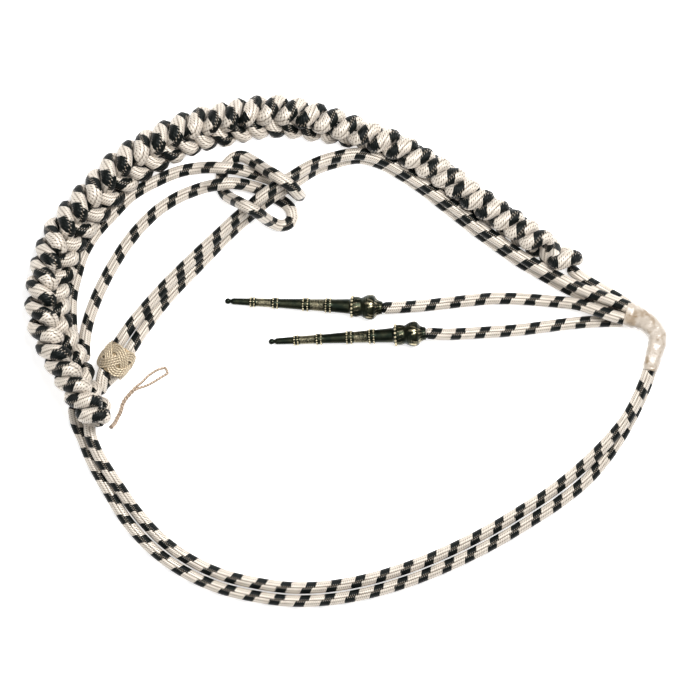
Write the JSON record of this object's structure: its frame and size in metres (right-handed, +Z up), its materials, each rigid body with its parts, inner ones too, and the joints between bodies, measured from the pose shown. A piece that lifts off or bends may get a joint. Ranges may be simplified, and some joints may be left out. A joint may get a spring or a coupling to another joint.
{
  "type": "aiguillette",
  "caption": "Dress cord laid out flat: a plait and a doubled loop form a ring, with a big knot, a woven slide knot and cords that end in turned metal tips.",
  "frame": {"origin": "on the table, under the middle of the whole object's box", "axes": "+X to the right along the longest side, from the plait's start to the tape; +Y up the plan towards the plait; +Z up from the table"},
  "size_m": [0.3193, 0.2537, 0.0267],
  "materials": {
    "cord": "braided silvery thread with dark flecks, slight sheen",
    "metal": "dark oxidised metal with worn, brighter raised ornament",
    "thread": "woven gold-coloured thread",
    "tape": "clear glossy tape, creased"
  },
  "bodies": {
    "root": {"plait_strand_1": "cord", "plait_strand_2": "cord", "plait_strand_3": "cord", "loop_cord_outer": "cord", "loop_cord_inner": "cord", "return_cord_outer": "cord", "return_cord_inner": "cord", "knot_cord": "cord", "tip_cord_upper": "cord", "tip_cord_lower": "cord", "plait_tail": "cord", "tip_upper": "metal", "tip_lower": "metal", "slide_knot": "thread", "button_loop": "thread", "tape_wrap": "tape"}
  },
  "joints": []
}
